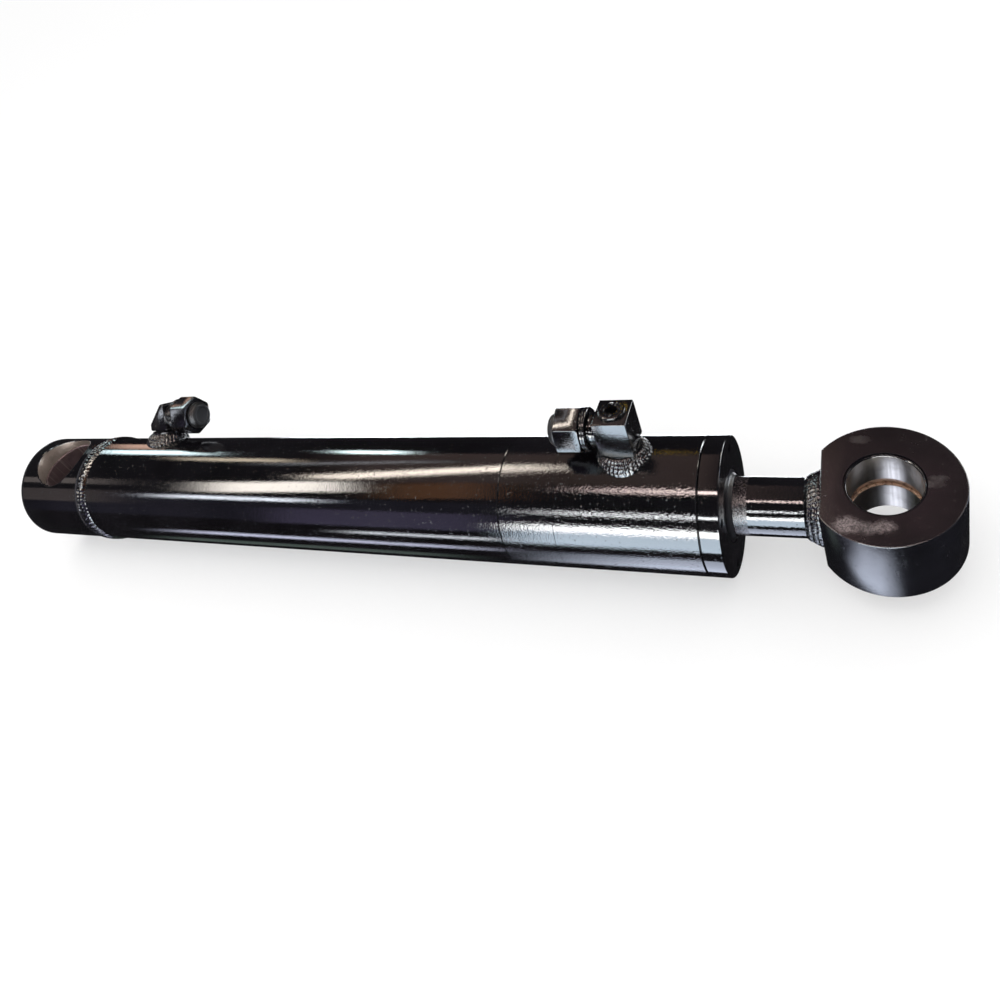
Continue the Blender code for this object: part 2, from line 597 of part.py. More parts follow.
def build():
    clear_scene()
    front_port = frame("front_port_frame", FRONT_PORT_X, FRONT_PORT_LEAN)
    rear_port = frame("rear_port_frame", REAR_PORT_X, REAR_PORT_LEAN, 180)
    bpy.context.view_layer.update()
    rear_cap()
    rear_cap_weld()
    barrel_tubes(front_port, rear_port)
    gland()
    gland_seals()
    piston()
    piston_rings()
    piston_rod()
    piston_nut()
    rod_eye()
    rod_eye_weld()
    front_port_block(front_port)
    front_port_plug(front_port)
    rear_port_elbow(rear_port)
    for side, port, first in (("front", front_port, FRONT_NUT_TURN), ("rear", rear_port, 0.0)):
        port_base(side, port)
        port_adapter(side, port)
        union_nut(side, port, first)
        blanking_plug(side, port)


build()
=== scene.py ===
"""Looks of the welded hydraulic cylinder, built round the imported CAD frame.

Lengths are in millimetres in the mesh code, and finish_piece() turns them into metres. Angles
round the cylinder are measured from +Z towards +Y. Every piece stands for the CAD node that it is
named after, and rides on that node's body.
"""

import json
import math

import bmesh
import bpy
from mathutils import Matrix, Vector, noise


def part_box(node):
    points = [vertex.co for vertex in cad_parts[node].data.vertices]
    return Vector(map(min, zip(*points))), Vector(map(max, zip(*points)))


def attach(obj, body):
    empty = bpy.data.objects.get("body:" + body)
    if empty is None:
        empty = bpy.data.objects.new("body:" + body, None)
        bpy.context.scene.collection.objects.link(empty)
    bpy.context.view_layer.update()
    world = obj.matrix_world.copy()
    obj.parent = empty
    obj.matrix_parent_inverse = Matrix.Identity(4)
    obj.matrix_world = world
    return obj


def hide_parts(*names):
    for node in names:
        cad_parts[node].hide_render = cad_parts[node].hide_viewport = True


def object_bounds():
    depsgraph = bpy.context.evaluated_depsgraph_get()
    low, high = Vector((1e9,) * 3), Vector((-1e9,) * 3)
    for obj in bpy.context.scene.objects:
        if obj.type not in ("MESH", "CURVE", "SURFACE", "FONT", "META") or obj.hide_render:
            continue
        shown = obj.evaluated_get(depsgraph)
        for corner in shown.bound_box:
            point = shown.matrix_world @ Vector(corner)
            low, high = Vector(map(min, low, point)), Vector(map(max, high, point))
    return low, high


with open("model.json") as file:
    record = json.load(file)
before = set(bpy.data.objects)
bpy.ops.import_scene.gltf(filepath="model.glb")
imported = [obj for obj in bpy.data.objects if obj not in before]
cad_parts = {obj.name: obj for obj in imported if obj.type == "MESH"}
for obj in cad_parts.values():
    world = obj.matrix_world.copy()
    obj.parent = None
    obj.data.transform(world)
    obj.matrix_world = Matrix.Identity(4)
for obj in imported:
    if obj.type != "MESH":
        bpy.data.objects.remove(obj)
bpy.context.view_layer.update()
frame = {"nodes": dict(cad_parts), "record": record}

MM = 0.001
GAP = 0.3
RECORD = frame["record"]
BODY_OF = {node: body for body, nodes in RECORD["behaviour"]["bodies"].items() for node in nodes}
SLOT_OF = {row["node"]: row["material_slot"] for row in RECORD["subparts"]}
MOUNT_AT = {mount["name"]: Vector(mount["pos_m"]) / MM for mount in RECORD["mounts"]}

# Steps round an axis, by what is turned
ROUND, BARREL, PIN_HOLE, FITTING, PORT_HOLE, SMALL_HOLE = 192, 256, 128, 96, 64, 48


def span(node):
    """Where a node starts and ends along X."""
    low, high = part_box(node)
    return low.x / MM, high.x / MM


def radius(node):
    """The radius of a node that is turned round the cylinder's axis."""
    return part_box(node)[1].z / MM


# Main sizes, from the frame
BARREL_R = radius("barrel_tube")
ROD_R = radius("piston_rod")
CAP_END_X, SPIGOT_END_X = span("rear_cap")
CAP_JOINT_X = sum(span("rear_cap_weld")) / 2
SEAM_X = (span("barrel_tube")[1] + span("head_tube")[0]) / 2
HEAD_TUBE_END_X = span("head_tube")[1]
NOSE_END_X, FACE_X = span("gland")
SPEAR_END_X, ROD_END_X = span("piston_rod")
EYE_FLAT_X, EYE_END_X = span("rod_eye")
EYE_R = (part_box("rod_eye")[1].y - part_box("rod_eye")[0].y) / 2 / MM
EYE_X, EYE_HALF = EYE_END_X - EYE_R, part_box("rod_eye")[1].z / MM

# Sizes that the boxes don't give
BORE_R = 50.0
CAP_BORE_R, EYE_BORE_R, BUSH_WALL = 35.0, 30.0, 2.5
WELD_ROOT_R = 52.5
OIL_HOLE_R = 5.0
SCRIBED_LINE_X = 654.6


# Mesh building


def arc_between(start, corner, end, steps):
    """Points of a smooth corner from start to end."""
    points = []
    for k in range(steps + 1):
        t = k / steps
        points.append((1 - t) ** 2 * start + 2 * t * (1 - t) * corner + t**2 * end)
    return points


def arc_points(start, corner, end, steps):
    return [tuple(p) for p in arc_between(Vector(start), Vector(corner), Vector(end), steps)]


def rounded(outline, size, steps=3):
    """The closed outline with its corners rounded, but for points on the axis."""
    result = []
    for i, (x, r) in enumerate(outline):
        corner = Vector((x, r))
        if r == 0:
            result.append((x, r))
            continue
        back = Vector(outline[i - 1]) - corner
        ahead = Vector(outline[(i + 1) % len(outline)]) - corner
        reach = min(size, back.length * 0.45, ahead.length * 0.45)
        start, end = corner + back.normalized() * reach, corner + ahead.normalized() * reach
        result += [tuple(p) for p in arc_between(start, corner, end, steps)]
    return result


def along(points, t):
    """A point at this share of a list of points, in straight steps."""
    place = t * (len(points) - 1)
    i = min(int(place), len(points) - 2)
    return tuple(a + (b - a) * (place - i) for a, b in zip(points[i], points[i + 1]))


def run(x0, x1, r, step):
    """Evenly spaced points along a straight cylindrical stretch."""
    count = max(1, round(abs(x1 - x0) / step))
    return [(x0 + (x1 - x0) * i / count, r) for i in range(count + 1)]


def tube(x0, x1, inner, outer):
    return [(x0, inner), (x1, inner), (x1, outer), (x0, outer)]


def rod(x0, x1, r):
    return [(x0, 0), (x0, r), (x1, r), (x1, 0)]


def recess(low, high, r, surface_r):
    return [(low, surface_r), (low, r), (high, r), (high, surface_r)]


def join_rings(bm, rings, profile=None):
    """Faces from each closed ring of vertices to the next, leaving out what lies on the profile's axis."""
    count = len(rings[0])
    for i, ring in enumerate(rings):
        following = rings[(i + 1) % len(rings)]
        for j in range(count):
            k = (j + 1) % count
            if profile and profile[j][1] == 0 and profile[k][1] == 0:
                continue
            bm.faces.new((ring[j], ring[k], following[k], following[j]))


def lathe(profile, steps=ROUND, section=None):
    """Turns an outline of (along, radius) points round X.

    section(angle) may give the outline at each angle instead, with the same number of points.
    """
    bm = bmesh.new()
    rings = []
    for i in range(steps):
        a = math.tau * i / steps
        points = section(a) if section else profile
        rings.append([bm.verts.new((x, r * math.sin(a), r * math.cos(a))) for x, r in points])
    join_rings(bm, rings, profile)
    bmesh.ops.remove_doubles(bm, verts=bm.verts, dist=0.0005)
    bmesh.ops.recalc_face_normals(bm, faces=bm.faces)
    return bm


def upright(bm):
    """Turns a mesh made round X so that it stands round Z, low end down."""
    bm.transform(Matrix.Rotation(-math.pi / 2, 4, "Y"))
    return bm


def prism(outline, low, high, axis="Z"):
    """Extrudes (x, y) points along Z, or (x, z) points along Y, or (y, z) points along X."""
    place = {
        "X": lambda u, v, w: (w, u, v), "Y": lambda u, v, w: (u, w, v), "Z": lambda u, v, w: (u, v, w),
    }[axis]
    bm = bmesh.new()
    ends = [[bm.verts.new(place(u, v, w)) for u, v in outline] for w in (low, high)]
    bm.faces.new(ends[0])
    bm.faces.new(ends[1])
    count = len(outline)
    for i in range(count):
        j = (i + 1) % count
        bm.faces.new((ends[0][i], ends[0][j], ends[1][j], ends[1][i]))
    bmesh.ops.recalc_face_normals(bm, faces=bm.faces)
    return bm


def hexagon(across_flats, first=0.0):
    r = across_flats / math.sqrt(3)
    turns = [math.radians(first + 60 * i) for i in range(6)]
    return [(r * math.sin(a), r * math.cos(a)) for a in turns]


def bevel_edges(bm, width, segments, angle=30):
    sharp = [e for e in bm.edges if len(e.link_faces) == 2 and e.calc_face_angle() > math.radians(angle)]
    bmesh.ops.bevel(
        bm, geom=sharp, offset=width, offset_type="OFFSET", segments=segments, profile=0.5, affect="EDGES",
    )
    return bm


def as_object(name, bm):
    mesh = bpy.data.meshes.new(name)
    bm.to_mesh(mesh)
    bm.free()
    obj = bpy.data.objects.new(name, mesh)
    bpy.context.scene.collection.objects.link(obj)
    return obj


def carved(bm, *cutters):
    """The mesh with each cutter taken out of it."""
    body = as_object("body", bm)
    tools = [as_object("tool", cutter) for cutter in cutters]
    for tool in tools:
        cut = body.modifiers.new("cut", "BOOLEAN")
        cut.operation, cut.solver, cut.object = "DIFFERENCE", "EXACT", tool
    bpy.context.view_layer.update()
    result = bmesh.new()
    result.from_object(body, bpy.context.evaluated_depsgraph_get())
    for obj in [body] + tools:
        bpy.data.objects.remove(obj, do_unlink=True)
    return result


def finish_piece(node, bm, materials, place=None, choose=None, sharp=32):
    """Makes the piece that stands for a node. choose(centre, normal) picks a face's material."""
    bmesh.ops.remove_doubles(bm, verts=bm.verts, dist=0.0005)
    bmesh.ops.recalc_face_normals(bm, faces=bm.faces)
    bm.normal_update()
    if choose:
        for face in bm.faces:
            face.material_index = choose(face.calc_center_median(), face.normal)
    if place:
        bm.transform(place)
    bm.transform(Matrix.Scale(MM, 4))
    obj = as_object("fine_" + node, bm)
    for material in materials:
        obj.data.materials.append(material)
    obj.data.shade_smooth()
    obj.data.set_sharp_from_angle(angle=math.radians(sharp))
    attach(obj, BODY_OF[node])
    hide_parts(node)
    return obj


# Materials


class Shader:
    """A Principled material whose colour, roughness and bump are built up from object coordinates."""

    def __init__(self, name, colour, roughness, metallic=0.0, ior=1.5):
        self.material = bpy.data.materials.new(name)
        self.material.use_nodes = True
        self.tree = self.material.node_tree
        self.out = self.tree.nodes["Principled BSDF"]
        self.out.inputs["Base Color"].default_value = (*colour, 1.0)
        self.out.inputs["Roughness"].default_value = roughness
        self.out.inputs["Metallic"].default_value = metallic
        self.out.inputs["IOR"].default_value = ior
        self.place = self.tree.nodes.new("ShaderNodeTexCoord").outputs["Object"]
        self.normal = None

    def node(self, kind, **values):
        made = self.tree.nodes.new("ShaderNode" + kind)
        for key, value in values.items():
            setattr(made, key, value)
        return made

    def link(self, source, target):
        self.tree.links.new(source, target)

    def stretched(self, scale):
        mapping = self.node("Mapping")
        mapping.inputs["Scale"].default_value = scale
        self.link(self.place, mapping.inputs["Vector"])
        return mapping.outputs["Vector"]

    def noise(self, scale, detail=2.0, rough=0.5):
        """Noise with this many features per metre along X, Y and Z."""
        grain = self.node("TexNoise")
        grain.inputs["Scale"].default_value = 1.0
        grain.inputs["Detail"].default_value = detail
        grain.inputs["Roughness"].default_value = rough
        self.link(self.stretched(scale), grain.inputs["Vector"])
        return grain.outputs["Fac"]

    def ramp(self, source, low, high, to_low=0.0, to_high=1.0):
        """Smooth step of a value from one range to another."""
        step = self.node("MapRange", interpolation_type="SMOOTHSTEP")
        for key, value in (("From Min", low), ("From Max", high), ("To Min", to_low), ("To Max", to_high)):
            step.inputs[key].default_value = value
        self.link(source, step.inputs["Value"])
        return step.outputs["Result"]

    def times(self, first, second):
        product = self.node("Math", operation="MULTIPLY")
        for source, socket in zip((first, second), product.inputs):
            if isinstance(source, float):
                socket.default_value = source
            else:
                self.link(source, socket)
        return product.outputs["Value"]

    def spot(self, centre, size):
        """1 at a point of the object, fading to 0 at size metres from it, per axis."""
        mapping = self.node("Mapping")
        mapping.inputs["Location"].default_value = [-c / s for c, s in zip(centre, size)]
        mapping.inputs["Scale"].default_value = [1 / s for s in size]
        self.link(self.place, mapping.inputs["Vector"])
        length = self.node("VectorMath", operation="LENGTH")
        self.link(mapping.outputs["Vector"], length.inputs[0])
        return self.ramp(length.outputs["Value"], 0.0, 1.0, 1.0, 0.0)

    def blend(self, name, data_type, first, mask, value):
        """Blends a socket of the shader from what it has to a value, as strong as the mask."""
        mix = self.node("Mix", data_type=data_type)
        socket = self.out.inputs[name]
        if socket.is_linked:
            self.link(socket.links[0].from_socket, mix.inputs[first])
        else:
            mix.inputs[first].default_value = socket.default_value
        mix.inputs[first + 1].default_value = value
        self.link(mask, mix.inputs[0])
        self.link(mix.outputs[2 if data_type == "RGBA" else 0], socket)
        return self

    def tint(self, mask, colour):
        return self.blend("Base Color", "RGBA", 6, mask, (*colour, 1.0))

    def roughen(self, mask, rough):
        return self.blend("Roughness", "FLOAT", 2, mask, rough)

    def bump(self, height, depth):
        """Adds relief this deep in metres."""
        made = self.node("Bump")
        made.inputs["Distance"].default_value = depth
        made.inputs["Strength"].default_value = 1.0
        self.link(height, made.inputs["Height"])
        if self.normal:
            self.link(self.normal, made.inputs["Normal"])
        self.normal = made.outputs["Normal"]
        self.link(self.normal, self.out.inputs["Normal"])
        return self


# Black paint: its colour, and how strongly it mirrors on the body and on each port
PAINT = (0.0030, 0.0027, 0.0034)
PAINT_IOR = 1.72
FITTING_IOR = {"front": PAINT_IOR, "rear": 1.42}


def enamel(name, peel=1.0, streaks=0.0, rough=0.05, colour=PAINT, ior=PAINT_IOR):
    """Gloss black enamel: orange peel, dust nibs, and drawn lines of the tube below if asked for."""
    s = Shader(name, colour, rough, ior=ior)
    s.tint(s.ramp(s.noise((14, 14, 14), 4), 0.35, 0.75), tuple(2.2 * c for c in colour))
    s.roughen(s.ramp(s.noise((60, 60, 60), 5, 0.65), 0.45, 0.72), rough + 0.04)
    s.bump(s.noise((620, 620, 620), 2, 0.5), 0.00009 * peel)
    if streaks:
        s.bump(s.noise((4, 300, 300), 3, 0.6), 0.00002 * streaks)
    s.bump(s.ramp(s.noise((380, 380, 380), 1), 0.72, 0.80), 0.00020 * peel)
    return s


def barrel_paint():
    return enamel("barrel_enamel", peel=0.8, streaks=1.0).material


def head_paint():
    """The head tube's paint has the coarsest orange peel."""
    return enamel("head_enamel", peel=1.5, streaks=0.8).material


def cap_paint():
    return enamel("cap_enamel", peel=0.25, streaks=0.6, rough=0.07).material


def fitting_paint(side):
    """Paint over the coarse plating of the port fittings. The rear ones are the duller."""
    s = enamel(side + "_fitting_enamel", peel=0.9, rough=0.12, ior=FITTING_IOR[side])
    s.tint(s.ramp(s.noise((420, 420, 420), 3, 0.7), 0.60, 0.72), (0.020, 0.014, 0.012))
    return s.material


def weld_paint():
    """Paint over weld metal: glossy, so that its ripples sparkle."""
    s = enamel("weld_enamel", peel=1.0, rough=0.06)
    s.bump(s.noise((330, 330, 330), 2, 0.6), 0.00022)
    return s.material


def frosted_paint_and_pink_sheen():
    """Thin dry paint on the masked root of the rod. Its speckle is the dry paint, and its pinkish grey tint
    is partly a painted pink reflection.
    """
    s = enamel("frosted_enamel_and_pink_sheen", peel=1.0, rough=0.16)
    # Pinkish grey speckle: the dry paint, and partly a painted pink reflection
    s.tint(s.ramp(s.noise((900, 900, 900), 3, 0.7), 0.48, 0.66), (0.110, 0.084, 0.086))
    s.bump(s.noise((560, 560, 560), 3, 0.7), 0.00036)
    return s.material


def rod_paint():
    return enamel("rod_enamel", peel=1.2, streaks=0.8, rough=0.07).material


def eye_side_paint():
    s = enamel("eye_side_enamel", peel=0.5, rough=0.20, colour=(0.004, 0.004, 0.006))
    s.roughen(s.ramp(s.noise((90, 90, 30), 5, 0.7), 0.5, 0.7), 0.30)
    return s.material


# Dust on the eye's top face: centre and size in metres, strength, colour
DUST = (
    ((0.8925, -0.0385), (0.016, 0.012), 0.95, (0.260, 0.200, 0.200)),
    ((0.9060, -0.0410), (0.015, 0.009), 0.80, (0.190, 0.145, 0.145)),
    ((0.9180, -0.0395), (0.013, 0.010), 0.90, (0.220, 0.165, 0.165)),
    ((0.9005, 0.0435), (0.013, 0.007), 0.28, (0.120, 0.095, 0.095)),
    ((0.9520, 0.0000), (0.013, 0.006), 0.32, (0.130, 0.105, 0.105)),
    ((0.9560, 0.0060), (0.010, 0.005), 0.26, (0.120, 0.095, 0.095)),
)


def eye_face_paint():
    """The eye's flat faces: matt dust in a patch and smears on brownish black."""
    s = enamel("eye_face_enamel", peel=0.7, rough=0.24, colour=(0.0082, 0.0044, 0.0054))
    top = EYE_HALF * MM
    speckle = s.ramp(s.noise((680, 680, 680), 4, 0.75), 0.40, 0.62, 0.10, 1.0)
    edge = s.ramp(s.noise((160, 160, 160), 3, 0.6), 0.30, 0.65, 0.35, 1.0)
    for centre, size, strength, colour in DUST:
        patch = s.ramp(s.times(s.spot((*centre, top), (*size, 0.004)), edge), 0.0, 0.75)
        s.tint(s.times(s.times(patch, speckle), strength), colour)
        s.roughen(s.times(patch, 0.8), 0.5)
    return s.material


def steel(name, colour, rough, lines, depth=0.000012):
    """Bare metal with tool marks that run across the direction of the most lines."""
    s = Shader(name, colour, rough, metallic=1.0)
    marks = s.noise(lines, 2, 0.6)
    s.bump(marks, depth)
    s.roughen(s.ramp(marks, 0.35, 0.65), rough + 0.10)
    s.tint(s.ramp(s.noise((80, 80, 80), 4, 0.6), 0.45, 0.75), tuple(c * 0.72 for c in colour))
    return s


def bore_steel():
    """Turned wall of the rear bush, browned by old oil, so it's part metal and part film."""
    s = steel("bored_steel", (0.130, 0.088, 0.090), 0.30, (700, 700, 14), 0.00003)
    s.tint(s.ramp(s.noise((500, 500, 10), 2), 0.56, 0.68), (0.20, 0.155, 0.150))
    s.out.inputs["Metallic"].default_value = 0.5
    return s.material


def painted_light_bore_wall():
    """The cap's own bored wall, painted lighter than the bush: painted light for the light that falls in at
    the mouth of the bore.
    """
    s = steel("bored_wall_painted_light", (0.30, 0.245, 0.210), 0.28, (500, 500, 20), 0.00003)
    s.out.inputs["Metallic"].default_value = 0.5
    return s.material


def bush_steel():
    return steel("ground_steel", (0.37, 0.345, 0.315), 0.28, (700, 700, 12)).material


def groove_copper():
    """Old grease on the wall between the bushes."""
    s = steel("greased_groove", (0.50, 0.33, 0.23), 0.45, (40, 40, 500), 0.00004)
    s.out.inputs["Metallic"].default_value = 0.35
    s.tint(s.ramp(s.noise((260, 260, 260), 3), 0.52, 0.64), (0.24, 0.15, 0.11))
    return s.material


def turned_steel():
    return steel("turned_steel", (0.46, 0.44, 0.42), 0.30, (1400, 14, 14)).material


def hard_chrome():
    return steel("hard_chrome_plate", (0.62, 0.63, 0.65), 0.07, (900, 8, 8), 0.000003).material


def moulded(name, colour, rough, grain):
    """Rubber and plastic for seals: a fine grain and faint flow marks."""
    s = Shader(name, colour, rough)
    s.bump(s.noise((grain, grain, grain), 3), 0.00004)
    s.tint(s.ramp(s.noise((120, 120, 120), 3), 0.45, 0.75), tuple(c * 1.5 for c in colour))
    return s.material


def woven_phenolic():
    """Resin-bonded cloth: two sets of threads show as a fine check."""
    s = Shader("woven_phenolic", (0.180, 0.105, 0.050), 0.62)
    weave = s.times(s.noise((900, 120, 120), 1), s.noise((120, 900, 900), 1))
    s.tint(s.ramp(weave, 0.18, 0.34), (0.26, 0.17, 0.09))
    s.bump(weave, 0.00006)
    return s.material


# Barrel


def on_rim(point):
    """Whether a point is on both the cap's outside and its bore."""
    on_bore = abs(math.hypot(point.x, point.y) - CAP_BORE_R) < 0.05
    return on_bore and abs(math.hypot(point.y, point.z) - BARREL_R) < 0.1


def fine_rear_cap():
    v_start, v_root = CAP_JOINT_X - 6.0, CAP_JOINT_X - 1.3
    spigot_r, pocket_r, pocket_x = BORE_R - GAP, 18.5, 66.0
    # The end's second point keeps the shading of the flat face flat
    profile = [(CAP_END_X, 0), (CAP_END_X, BARREL_R - 1.5), (CAP_END_X, BARREL_R - 1.2)]
    profile.append((CAP_END_X + 0.4, BARREL_R - 0.4))
    profile += run(CAP_END_X + 1.2, v_start, BARREL_R, 3.0)
    profile += [
        (v_root, WELD_ROOT_R), (v_root, spigot_r), (SPIGOT_END_X - 2, spigot_r), (SPIGOT_END_X, spigot_r - 2),
        (SPIGOT_END_X, pocket_r), (pocket_x + 6, pocket_r), (pocket_x, 0),
    ]
    pin_bore = upright(lathe(rod(-70, 70, CAP_BORE_R), PIN_HOLE))
    bm = carved(lathe(profile, BARREL), pin_bore)
    rim = [e for e in bm.edges if all(on_rim(v.co) for v in e.verts)]
    bmesh.ops.bevel(bm, geom=rim, offset=0.7, offset_type="OFFSET", segments=2, profile=0.5, affect="EDGES")

    # Faces on the bore's wall take the bore-wall finish, whose lighter colour is painted light from the mouth
    def choose(centre, normal):
        on_wall = abs(math.hypot(centre.x, centre.y) - CAP_BORE_R) < 0.2
        return 1 if on_wall and abs(normal.z) < 0.1 else 0

    finish_piece("rear_cap", bm, [cap_paint(), painted_light_bore_wall()], choose=choose)


def bush_profile(low, high, outer):
    inner = outer - BUSH_WALL
    return [
        (low, inner + 1.0), (low + 1.0, inner), (high - 1.0, inner), (high, inner + 1.0),
        (high, outer - GAP), (low, outer - GAP),
    ]


def end_finish(centre, normal):
    """A bush's end is greased where it's inside the eye, and painted where it's outside."""
    if abs(normal.z) < 0.6:
        return 0
    return 1 if abs(centre.z) < EYE_HALF / 2 else 2


def fine_bushes():
    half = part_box("rear_bush")[1].z / MM
    rear = upright(lathe(rounded(bush_profile(-half, half, CAP_BORE_R), 0.25), PIN_HOLE))
    finish_piece("rear_bush", rear, [bore_steel()])
    for end in ("upper", "lower"):
        low, high = (corner.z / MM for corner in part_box("rod_eye_bush_" + end))
        bm = upright(lathe(rounded(bush_profile(low, high, EYE_BORE_R), 0.25), PIN_HOLE))
        finishes = [bush_steel(), groove_copper(), cap_paint()]
        finish_piece("rod_eye_bush_" + end, bm, finishes, Matrix.Translation((EYE_X, 0, 0)), end_finish)


def bead_height(across, around, passes, pitch, seed):
    """Relief of a weld bead: rounded passes, crescent ripples and lumps.

    across runs from 0 to 1 over the bead, and around is the distance along it in millimetres.
    """
    scallop = abs(math.sin(math.pi * passes * across)) ** 0.7
    drift = noise.noise(Vector((around * 0.11, across * 2.0, seed)))
    own = (across * passes) % 1.0 - 0.5
    crest = math.cos(math.tau * (around / pitch + 1.3 * own**2 + 0.5 * drift))
    lump = noise.noise(Vector((around * 0.35, across * 5.0, seed + 7.0)))
    fade = math.sin(math.pi * min(max(across, 0.0), 1.0)) ** 0.35
    return (0.42 * scallop + 0.34 * crest + 0.45 * lump) * fade


def fine_rear_cap_weld():
    surface, half, crown = BARREL_R + 0.1, 9.0, 1.7
    across_steps = 18

    def section(a):
        points = []
        for k in range(across_steps + 1):
            t = k / across_steps
            rise = crown * math.sin(math.pi * t) ** 0.8
            relief = bead_height(t, a * BARREL_R, 2, 4.3, 1.0)
            wander = 0.5 * noise.noise(Vector((4 * math.cos(a), 4 * math.sin(a), 3.0)))
            points.append((CAP_JOINT_X + wander + half * (1 - 2 * t), surface + rise + relief * 0.8))
        for x, r in ((-5.4, surface - 0.5), (-0.7, 52.8), (0.7, 52.8), (5.4, surface - 0.5)):
            points.append((CAP_JOINT_X + x, r))
        return points

    finish_piece("rear_cap_weld", lathe(None, 720, section), [weld_paint()], sharp=60)


def fine_tubes():
    edge, joint, step = 0.55, GAP / 2, 7.0
    root_x, v_x = CAP_JOINT_X + 1.3, CAP_JOINT_X + 6.0
    seam_low, seam_high = SEAM_X - joint, SEAM_X + joint
    rim_x = HEAD_TUBE_END_X - 0.9
    long_tube = [(root_x, BORE_R), (seam_low, BORE_R), (seam_low, BARREL_R - edge)]
    long_tube += run(seam_low - edge, v_x, BARREL_R, step) + [(root_x, WELD_ROOT_R)]
    head_tube = [(seam_high, BORE_R), (HEAD_TUBE_END_X, BORE_R), (HEAD_TUBE_END_X, BARREL_R - 0.9)]
    head_tube += run(rim_x, SCRIBED_LINE_X + 0.25, BARREL_R, step)
    head_tube.append((SCRIBED_LINE_X, BARREL_R - 0.2))
    head_tube += run(SCRIBED_LINE_X - 0.25, seam_high + edge, BARREL_R, step)
    head_tube.append((seam_high, BARREL_R - edge))
    finishes = {"rear": barrel_paint(), "front": head_paint()}
    for side, node, profile in (("rear", "barrel_tube", long_tube), ("front", "head_tube", head_tube)):
        hole = upright(lathe(rod(40, 70, OIL_HOLE_R), SMALL_HOLE))
        hole.transform(port_place(side))
        finish_piece(node, carved(lathe(profile, BARREL), hole), [finishes[side]], sharp=28)


# Head: gland, wiper, rod and its eye


def fine_gland():
    insert_r, nose_r, insert_x, flange_x = BORE_R - GAP, 40.0, 733.0, HEAD_TUBE_END_X + GAP
    bore_r = 25.5
    spanner_holes, hole_r, hole_at, first_turn = 4, 4.0, 50.0, 38.4
    outside = [(NOSE_END_X, nose_r), (insert_x, nose_r), (insert_x, insert_r)]
    outside += recess(740.0, 747.0, 46.0, insert_r) + [(flange_x, insert_r)]
    outside += [(flange_x, BARREL_R - 0.9), (flange_x + 0.9, BARREL_R)]
    outside += arc_points((FACE_X - 1.6, BARREL_R), (FACE_X, BARREL_R), (FACE_X, BARREL_R - 1.6), 5)
    seats = ((706.0, 726.0, 27.9), (750.0, 757.0, 31.5), (764.0, 776.0, 32.5), (780.0, 787.0, 27.9))
    inside = [(NOSE_END_X, bore_r)]
    for low, high, r in seats:
        inside += recess(low, high, r, bore_r)
    inside += [(790.5, bore_r), (790.5, 31.3), (FACE_X - 0.4, 31.3), (FACE_X, 31.7)]
    holes = []
    for i in range(spanner_holes):
        hole = lathe(rod(FACE_X - 10, FACE_X + 5, hole_r), SMALL_HOLE)
        bmesh.ops.translate(hole, vec=(0, 0, hole_at), verts=hole.verts)
        hole.transform(Matrix.Rotation(-math.radians(first_turn + 360 / spanner_holes * i), 4, "X"))
        holes.append(hole)
    bm = carved(lathe(outside + inside[::-1]), *holes)
    finish_piece("gland", bm, [cap_paint()])


def fine_wiper():
    low, high = span("wiper_seal")
    inner = ROD_R + GAP
    profile = [
        (low, inner + 0.5), (FACE_X + 0.5, inner + 0.5), (high, inner), (high, inner + 0.8),
        (FACE_X + 1.2, 27.4), (FACE_X + 0.2, 28.5), (FACE_X - 0.4, 31.0), (low, 31.0),
    ]
    bm = lathe(rounded(profile, 0.3))
    finish_piece("wiper_seal", bm, [moulded("wiper_polyurethane", (0.007, 0.007, 0.009), 0.36, 900)])


def fine_rod():
    shoulder_x, seat_r, tail_r, spear_r = 199.9, 22.0, 20.0, 16.0
    piston_x, nut_x = 149.6, 115.3
    paint_x, dry_x = FACE_X + 3.4, FACE_X + 15.0
    profile = [
        (SPEAR_END_X, 0), (SPEAR_END_X, spear_r - 3), (SPEAR_END_X + 9, spear_r), (nut_x, spear_r),
        (nut_x + 2, tail_r), (piston_x, tail_r), (piston_x, seat_r), (shoulder_x, seat_r),
        (shoulder_x, ROD_R - 0.6), (shoulder_x + 0.6, ROD_R), (paint_x, ROD_R), (dry_x, ROD_R),
        (ROD_END_X, ROD_R), (ROD_END_X, 0),
    ]

    def choose(centre, normal):
        if centre.x < paint_x:
            return 0
        return 1 if centre.x < dry_x else 2

    finish_piece("piston_rod", lathe(profile), [hard_chrome(), frosted_paint_and_pink_sheen(), rod_paint()], choose=choose)


def fine_rod_eye():
    reach = math.sqrt(EYE_R**2 - (EYE_X - EYE_FLAT_X) ** 2)
    flat_angle = math.pi - math.atan2(reach, EYE_X - EYE_FLAT_X)
    steps = 160
    outline = []
    for i in range(steps + 1):
        a = flat_angle * (2 * i / steps - 1)
        outline.append((EYE_X + EYE_R * math.cos(a), EYE_R * math.sin(a)))
    blank = bevel_edges(prism(outline, -EYE_HALF, EYE_HALF), 1.1, 3, angle=50)
    groove = 6.0
    heights = (-50, -groove, groove, 50)
    wall = [(-50, 0)] + [(z, EYE_BORE_R) for z in heights] + [(50, 0)]
    bore = upright(lathe(wall, PIN_HOLE))
    bmesh.ops.translate(bore, vec=(EYE_X, 0, 0), verts=bore.verts)

    def choose(centre, normal):
        if abs(normal.z) > 0.9:
            return 1
        in_groove = math.hypot(centre.x - EYE_X, centre.y) < EYE_BORE_R + 0.2 and abs(centre.z) < groove
        return 2 if in_groove else 0

    materials = [eye_side_paint(), eye_face_paint(), groove_copper()]
    finish_piece("rod_eye", carved(blank, bore), materials, choose=choose)


